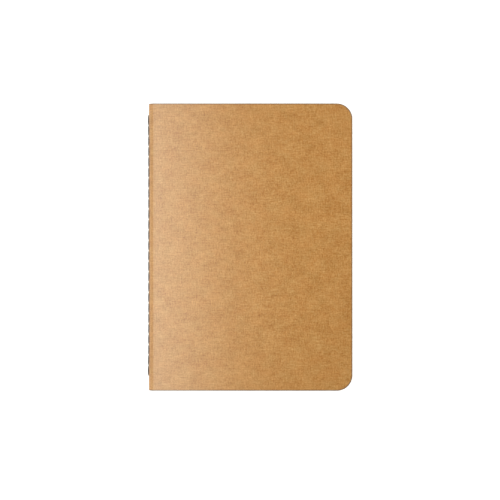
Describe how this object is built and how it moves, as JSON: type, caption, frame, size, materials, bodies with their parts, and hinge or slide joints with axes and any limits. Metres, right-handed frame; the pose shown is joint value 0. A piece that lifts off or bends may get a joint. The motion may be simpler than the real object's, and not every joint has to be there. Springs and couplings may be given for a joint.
{
  "type": "pocket notebook",
  "caption": "Thin pocket notebook: folded paper sheets sewn through the fold into a brown card cover with two rounded fore-edge corners; opens like a book.",
  "frame": {"origin": "middle of the underside of the closed notebook, which lies on its back cover", "axes": "+X from the spine to the fore-edge, +Y to the head, +Z out of the front cover"},
  "size_m": [0.1054, 0.148, 0.005],
  "materials": {
    "kraft_card": "matte",
    "paper": "matte",
    "thread": "satin"
  },
  "bodies": {
    "back_cover": {"back_cover": "kraft_card", "cover_rear_crease": "kraft_card"},
    "spine": {"cover_spine": "kraft_card", "needle_thread": "thread", "bobbin_thread": "thread", "sheet_01_fold": "paper", "sheet_02_fold": "paper", "sheet_03_fold": "paper", "sheet_04_fold": "paper", "sheet_05_fold": "paper", "sheet_06_fold": "paper", "sheet_07_fold": "paper", "sheet_08_fold": "paper", "sheet_09_fold": "paper", "sheet_10_fold": "paper", "sheet_11_fold": "paper", "sheet_12_fold": "paper", "sheet_13_fold": "paper", "sheet_14_fold": "paper", "sheet_15_fold": "paper", "sheet_16_fold": "paper"},
    "front_hinge": {"cover_front_crease": "kraft_card"},
    "front_cover": {"front_cover": "kraft_card"},
    "sheet_01_rear": {"sheet_01_rear_leaf": "paper"},
    "sheet_01_front": {"sheet_01_front_leaf": "paper"},
    "sheet_02_rear": {"sheet_02_rear_leaf": "paper"},
    "sheet_02_front": {"sheet_02_front_leaf": "paper"},
    "sheet_03_rear": {"sheet_03_rear_leaf": "paper"},
    "sheet_03_front": {"sheet_03_front_leaf": "paper"},
    "sheet_04_rear": {"sheet_04_rear_leaf": "paper"},
    "sheet_04_front": {"sheet_04_front_leaf": "paper"},
    "sheet_05_rear": {"sheet_05_rear_leaf": "paper"},
    "sheet_05_front": {"sheet_05_front_leaf": "paper"},
    "sheet_06_rear": {"sheet_06_rear_leaf": "paper"},
    "sheet_06_front": {"sheet_06_front_leaf": "paper"},
    "sheet_07_rear": {"sheet_07_rear_leaf": "paper"},
    "sheet_07_front": {"sheet_07_front_leaf": "paper"},
    "sheet_08_rear": {"sheet_08_rear_leaf": "paper"},
    "sheet_08_front": {"sheet_08_front_leaf": "paper"},
    "sheet_09_rear": {"sheet_09_rear_leaf": "paper"},
    "sheet_09_front": {"sheet_09_front_leaf": "paper"},
    "sheet_10_rear": {"sheet_10_rear_leaf": "paper"},
    "sheet_10_front": {"sheet_10_front_leaf": "paper"},
    "sheet_11_rear": {"sheet_11_rear_leaf": "paper"},
    "sheet_11_front": {"sheet_11_front_leaf": "paper"},
    "sheet_12_rear": {"sheet_12_rear_leaf": "paper"},
    "sheet_12_front": {"sheet_12_front_leaf": "paper"},
    "sheet_13_rear": {"sheet_13_rear_leaf": "paper"},
    "sheet_13_front": {"sheet_13_front_leaf": "paper"},
    "sheet_14_rear": {"sheet_14_rear_leaf": "paper"},
    "sheet_14_front": {"sheet_14_front_leaf": "paper"},
    "sheet_15_rear": {"sheet_15_rear_leaf": "paper"},
    "sheet_15_front": {"sheet_15_front_leaf": "paper"},
    "sheet_16_rear": {"sheet_16_rear_leaf": "paper"},
    "sheet_16_front": {"sheet_16_front_leaf": "paper"}
  },
  "joints": [
    {"name": "notebook_open", "type": "hinge", "parent": "back_cover", "child": "spine", "pos_m": [-0.04975, 0, 0.0025], "axis": [0, -1, 0], "range_deg": [0, 90], "deforming": ["cover_rear_crease", "sheet_01_fold", "sheet_02_fold", "sheet_03_fold", "sheet_04_fold", "sheet_05_fold", "sheet_06_fold", "sheet_07_fold", "sheet_08_fold", "sheet_09_fold", "sheet_10_fold", "sheet_11_fold", "sheet_12_fold", "sheet_13_fold", "sheet_14_fold", "sheet_15_fold", "sheet_16_fold"]},
    {"name": "front_cover_follow", "type": "hinge", "parent": "spine", "child": "front_hinge", "pos_m": [-0.04975, 0, 0.0025], "axis": [0, -1, 0], "range_deg": [0, 90], "deforming": ["cover_front_crease"]},
    {"name": "front_cover_open", "type": "hinge", "parent": "front_hinge", "child": "front_cover", "pos_m": [-0.04715, 0, 0.0053], "axis": [0, -1, 0], "range_deg": [0, 178]},
    {"name": "sheet_01_rear_turn", "type": "hinge", "parent": "spine", "child": "sheet_01_rear", "pos_m": [-0.04975, 0, 0.0025], "axis": [0, -1, 0], "range_deg": [-82.01, 0]},
    {"name": "sheet_01_front_turn", "type": "hinge", "parent": "spine", "child": "sheet_01_front", "pos_m": [-0.04975, 0, 0.0025], "axis": [0, -1, 0], "range_deg": [0, 82.01]},
    {"name": "sheet_02_rear_turn", "type": "hinge", "parent": "spine", "child": "sheet_02_rear", "pos_m": [-0.04975, 0, 0.0025], "axis": [0, -1, 0], "range_deg": [-82.51, 0]},
    {"name": "sheet_02_front_turn", "type": "hinge", "parent": "spine", "child": "sheet_02_front", "pos_m": [-0.04975, 0, 0.0025], "axis": [0, -1, 0], "range_deg": [0, 82.51]},
    {"name": "sheet_03_rear_turn", "type": "hinge", "parent": "spine", "child": "sheet_03_rear", "pos_m": [-0.04975, 0, 0.0025], "axis": [0, -1, 0], "range_deg": [-83.01, 0]},
    {"name": "sheet_03_front_turn", "type": "hinge", "parent": "spine", "child": "sheet_03_front", "pos_m": [-0.04975, 0, 0.0025], "axis": [0, -1, 0], "range_deg": [0, 83.01]},
    {"name": "sheet_04_rear_turn", "type": "hinge", "parent": "spine", "child": "sheet_04_rear", "pos_m": [-0.04975, 0, 0.0025], "axis": [0, -1, 0], "range_deg": [-83.51, 0]},
    {"name": "sheet_04_front_turn", "type": "hinge", "parent": "spine", "child": "sheet_04_front", "pos_m": [-0.04975, 0, 0.0025], "axis": [0, -1, 0], "range_deg": [0, 83.51]},
    {"name": "sheet_05_rear_turn", "type": "hinge", "parent": "spine", "child": "sheet_05_rear", "pos_m": [-0.04975, 0, 0.0025], "axis": [0, -1, 0], "range_deg": [-84.01, 0]},
    {"name": "sheet_05_front_turn", "type": "hinge", "parent": "spine", "child": "sheet_05_front", "pos_m": [-0.04975, 0, 0.0025], "axis": [0, -1, 0], "range_deg": [0, 84.01]},
    {"name": "sheet_06_rear_turn", "type": "hinge", "parent": "spine", "child": "sheet_06_rear", "pos_m": [-0.04975, 0, 0.0025], "axis": [0, -1, 0], "range_deg": [-84.51, 0]},
    {"name": "sheet_06_front_turn", "type": "hinge", "parent": "spine", "child": "sheet_06_front", "pos_m": [-0.04975, 0, 0.0025], "axis": [0, -1, 0], "range_deg": [0, 84.51]},
    {"name": "sheet_07_rear_turn", "type": "hinge", "parent": "spine", "child": "sheet_07_rear", "pos_m": [-0.04975, 0, 0.0025], "axis": [0, -1, 0], "range_deg": [-85.01, 0]},
    {"name": "sheet_07_front_turn", "type": "hinge", "parent": "spine", "child": "sheet_07_front", "pos_m": [-0.04975, 0, 0.0025], "axis": [0, -1, 0], "range_deg": [0, 85.01]},
    {"name": "sheet_08_rear_turn", "type": "hinge", "parent": "spine", "child": "sheet_08_rear", "pos_m": [-0.04975, 0, 0.0025], "axis": [0, -1, 0], "range_deg": [-85.51, 0]},
    {"name": "sheet_08_front_turn", "type": "hinge", "parent": "spine", "child": "sheet_08_front", "pos_m": [-0.04975, 0, 0.0025], "axis": [0, -1, 0], "range_deg": [0, 85.51]},
    {"name": "sheet_09_rear_turn", "type": "hinge", "parent": "spine", "child": "sheet_09_rear", "pos_m": [-0.04975, 0, 0.0025], "axis": [0, -1, 0], "range_deg": [-86.01, 0]},
    {"name": "sheet_09_front_turn", "type": "hinge", "parent": "spine", "child": "sheet_09_front", "pos_m": [-0.04975, 0, 0.0025], "axis": [0, -1, 0], "range_deg": [0, 86.01]},
    {"name": "sheet_10_rear_turn", "type": "hinge", "parent": "spine", "child": "sheet_10_rear", "pos_m": [-0.04975, 0, 0.0025], "axis": [0, -1, 0], "range_deg": [-86.51, 0]},
    {"name": "sheet_10_front_turn", "type": "hinge", "parent": "spine", "child": "sheet_10_front", "pos_m": [-0.04975, 0, 0.0025], "axis": [0, -1, 0], "range_deg": [0, 86.51]},
    {"name": "sheet_11_rear_turn", "type": "hinge", "parent": "spine", "child": "sheet_11_rear", "pos_m": [-0.04975, 0, 0.0025], "axis": [0, -1, 0], "range_deg": [-87.01, 0]},
    {"name": "sheet_11_front_turn", "type": "hinge", "parent": "spine", "child": "sheet_11_front", "pos_m": [-0.04975, 0, 0.0025], "axis": [0, -1, 0], "range_deg": [0, 87.01]},
    {"name": "sheet_12_rear_turn", "type": "hinge", "parent": "spine", "child": "sheet_12_rear", "pos_m": [-0.04975, 0, 0.0025], "axis": [0, -1, 0], "range_deg": [-87.51, 0]},
    {"name": "sheet_12_front_turn", "type": "hinge", "parent": "spine", "child": "sheet_12_front", "pos_m": [-0.04975, 0, 0.0025], "axis": [0, -1, 0], "range_deg": [0, 87.51]},
    {"name": "sheet_13_rear_turn", "type": "hinge", "parent": "spine", "child": "sheet_13_rear", "pos_m": [-0.04975, 0, 0.0025], "axis": [0, -1, 0], "range_deg": [-88.01, 0]},
    {"name": "sheet_13_front_turn", "type": "hinge", "parent": "spine", "child": "sheet_13_front", "pos_m": [-0.04975, 0, 0.0025], "axis": [0, -1, 0], "range_deg": [0, 88.01]},
    {"name": "sheet_14_rear_turn", "type": "hinge", "parent": "spine", "child": "sheet_14_rear", "pos_m": [-0.04975, 0, 0.0025], "axis": [0, -1, 0], "range_deg": [-88.51, 0]},
    {"name": "sheet_14_front_turn", "type": "hinge", "parent": "spine", "child": "sheet_14_front", "pos_m": [-0.04975, 0, 0.0025], "axis": [0, -1, 0], "range_deg": [0, 88.51]},
    {"name": "sheet_15_rear_turn", "type": "hinge", "parent": "spine", "child": "sheet_15_rear", "pos_m": [-0.04975, 0, 0.0025], "axis": [0, -1, 0], "range_deg": [-89.01, 0]},
    {"name": "sheet_15_front_turn", "type": "hinge", "parent": "spine", "child": "sheet_15_front", "pos_m": [-0.04975, 0, 0.0025], "axis": [0, -1, 0], "range_deg": [0, 89.01]},
    {"name": "sheet_16_rear_turn", "type": "hinge", "parent": "spine", "child": "sheet_16_rear", "pos_m": [-0.04975, 0, 0.0025], "axis": [0, -1, 0], "range_deg": [-89.51, 0]},
    {"name": "sheet_16_front_turn", "type": "hinge", "parent": "spine", "child": "sheet_16_front", "pos_m": [-0.04975, 0, 0.0025], "axis": [0, -1, 0], "range_deg": [0, 89.51]}
  ],
  "couplings": [
    {"joint": "front_cover_follow", "follows": "notebook_open", "ratio": 1},
    {"joint": "sheet_01_rear_turn", "follows": "notebook_open", "ratio": -0.91111},
    {"joint": "sheet_01_front_turn", "follows": "notebook_open", "ratio": 0.91111},
    {"joint": "sheet_02_rear_turn", "follows": "notebook_open", "ratio": -0.91667},
    {"joint": "sheet_02_front_turn", "follows": "notebook_open", "ratio": 0.91667},
    {"joint": "sheet_03_rear_turn", "follows": "notebook_open", "ratio": -0.92222},
    {"joint": "sheet_03_front_turn", "follows": "notebook_open", "ratio": 0.92222},
    {"joint": "sheet_04_rear_turn", "follows": "notebook_open", "ratio": -0.92778},
    {"joint": "sheet_04_front_turn", "follows": "notebook_open", "ratio": 0.92778},
    {"joint": "sheet_05_rear_turn", "follows": "notebook_open", "ratio": -0.93333},
    {"joint": "sheet_05_front_turn", "follows": "notebook_open", "ratio": 0.93333},
    {"joint": "sheet_06_rear_turn", "follows": "notebook_open", "ratio": -0.93889},
    {"joint": "sheet_06_front_turn", "follows": "notebook_open", "ratio": 0.93889},
    {"joint": "sheet_07_rear_turn", "follows": "notebook_open", "ratio": -0.94444},
    {"joint": "sheet_07_front_turn", "follows": "notebook_open", "ratio": 0.94444},
    {"joint": "sheet_08_rear_turn", "follows": "notebook_open", "ratio": -0.95},
    {"joint": "sheet_08_front_turn", "follows": "notebook_open", "ratio": 0.95},
    {"joint": "sheet_09_rear_turn", "follows": "notebook_open", "ratio": -0.95556},
    {"joint": "sheet_09_front_turn", "follows": "notebook_open", "ratio": 0.95556},
    {"joint": "sheet_10_rear_turn", "follows": "notebook_open", "ratio": -0.96111},
    {"joint": "sheet_10_front_turn", "follows": "notebook_open", "ratio": 0.96111},
    {"joint": "sheet_11_rear_turn", "follows": "notebook_open", "ratio": -0.96667},
    {"joint": "sheet_11_front_turn", "follows": "notebook_open", "ratio": 0.96667},
    {"joint": "sheet_12_rear_turn", "follows": "notebook_open", "ratio": -0.97222},
    {"joint": "sheet_12_front_turn", "follows": "notebook_open", "ratio": 0.97222},
    {"joint": "sheet_13_rear_turn", "follows": "notebook_open", "ratio": -0.97778},
    {"joint": "sheet_13_front_turn", "follows": "notebook_open", "ratio": 0.97778},
    {"joint": "sheet_14_rear_turn", "follows": "notebook_open", "ratio": -0.98333},
    {"joint": "sheet_14_front_turn", "follows": "notebook_open", "ratio": 0.98333},
    {"joint": "sheet_15_rear_turn", "follows": "notebook_open", "ratio": -0.98889},
    {"joint": "sheet_15_front_turn", "follows": "notebook_open", "ratio": 0.98889},
    {"joint": "sheet_16_rear_turn", "follows": "notebook_open", "ratio": -0.99444},
    {"joint": "sheet_16_front_turn", "follows": "notebook_open", "ratio": 0.99444}
  ]
}
